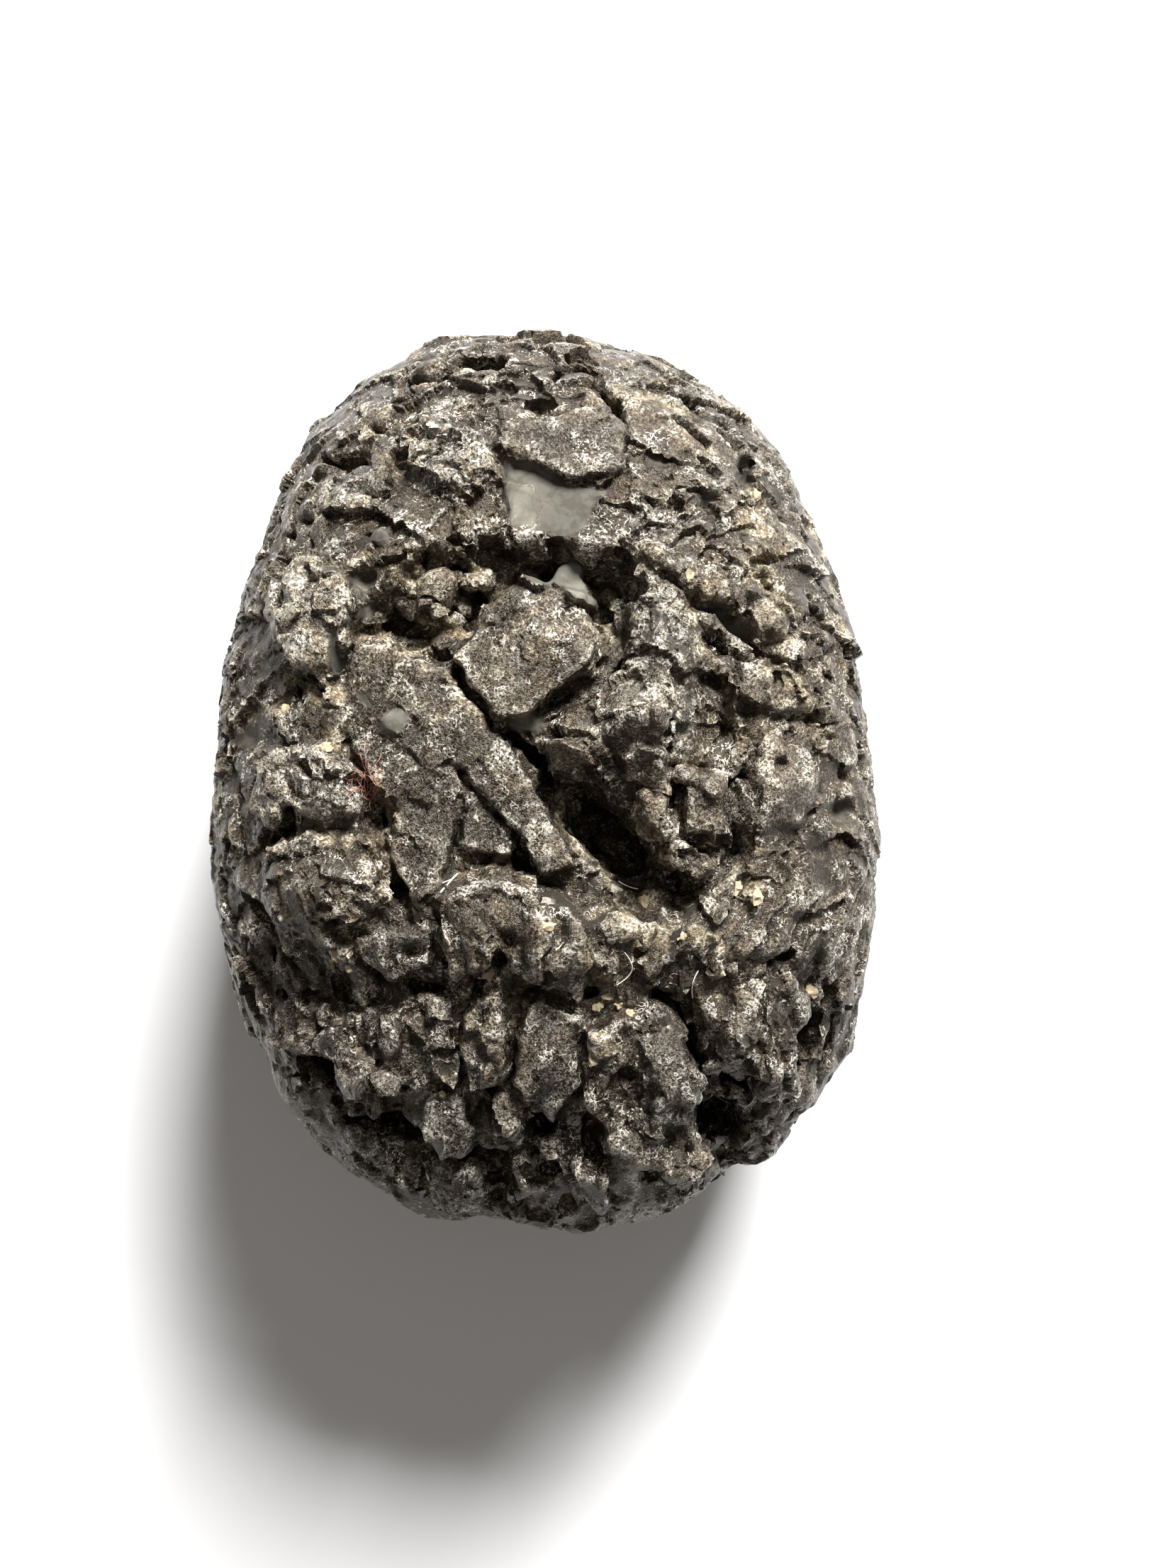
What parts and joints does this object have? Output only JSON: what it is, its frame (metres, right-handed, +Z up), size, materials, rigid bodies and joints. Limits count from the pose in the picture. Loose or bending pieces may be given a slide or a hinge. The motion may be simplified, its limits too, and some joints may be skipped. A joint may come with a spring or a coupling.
{
  "type": "obsidian nodule",
  "caption": "Raw oval obsidian nodule with a rough broken face of plates, ledges, pits and cracks, lying on a small flat spot of its back.",
  "frame": {"origin": "on the ground plane, below the middle of the stone's bounding box", "axes": "+X across the stone, to the right as one looks down on its broken face; +Y along its length; +Z up, out of the broken face"},
  "size_m": [0.0321, 0.0436, 0.0253],
  "materials": {
    "obsidian": "opaque black volcanic glass, weathered: dull splintered surface with glossy fresh facets and grey-brown dust in the hollows"
  },
  "bodies": {
    "root": {"obsidian_nodule": "obsidian"}
  },
  "joints": []
}
